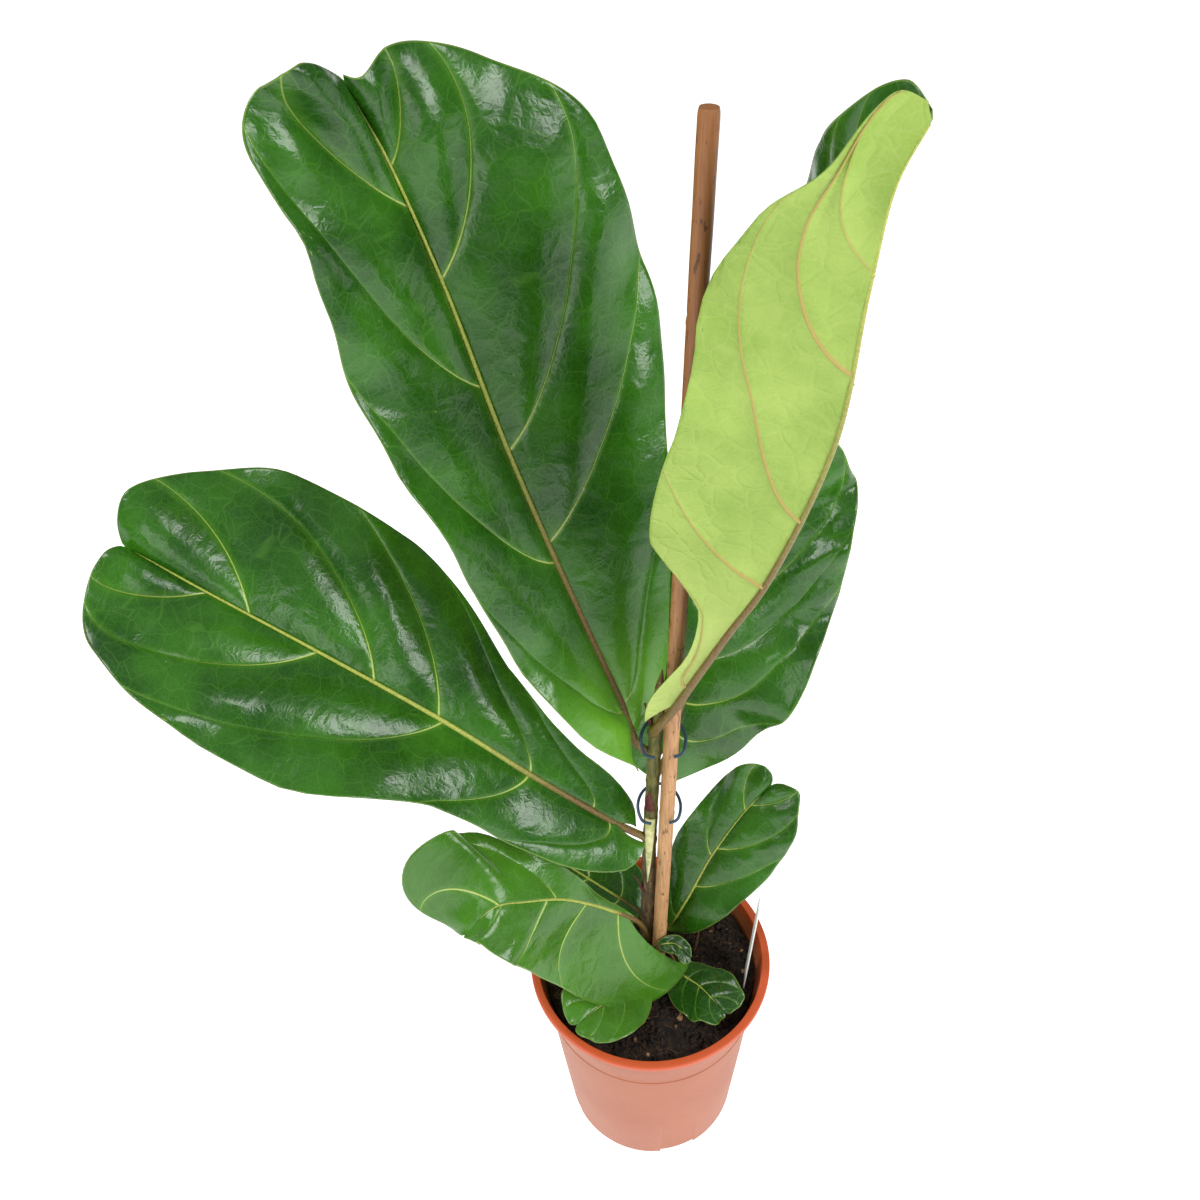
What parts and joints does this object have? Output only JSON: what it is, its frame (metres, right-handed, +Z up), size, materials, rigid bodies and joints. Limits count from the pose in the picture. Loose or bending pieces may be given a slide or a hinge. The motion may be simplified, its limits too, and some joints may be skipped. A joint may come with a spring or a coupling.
{
  "type": "potted fiddle leaf fig",
  "caption": "Young fiddle leaf fig with large glossy leaves, clipped to a cane in a terracotta-coloured round plastic nursery pot.",
  "frame": {"origin": "centre of the flat disc in the middle of the pot's underside", "axes": "+Z up through the pot; the picture is taken from -Y, with +X to its right"},
  "size_m": [0.4354, 0.2151, 0.7868],
  "materials": {
    "pot": "satin",
    "soil": "matte",
    "cane": "satin",
    "stem": "matte",
    "leaf": "gloss",
    "sheath": "matte",
    "dry_sheath": "matte",
    "clip": "gloss",
    "label": "satin"
  },
  "bodies": {
    "root": {"pot": "pot", "soil": "soil", "cane": "cane", "main_stem": "stem", "bud": "leaf", "clip_upper": "clip", "clip_lower": "clip", "plant_label": "label", "twig": "stem", "stipule_upper": "sheath", "stipule_middle": "sheath", "stipule_lower": "sheath", "dry_stipule": "dry_sheath", "leaf_top_left": "leaf", "leaf_left": "leaf", "leaf_top_right": "leaf", "leaf_rear_right": "leaf", "leaf_lower_right": "leaf", "leaf_front": "leaf", "leaf_rear_left": "leaf", "leaf_small_front": "leaf", "leaf_small_right": "leaf", "leaf_small_foot": "leaf"}
  },
  "joints": []
}
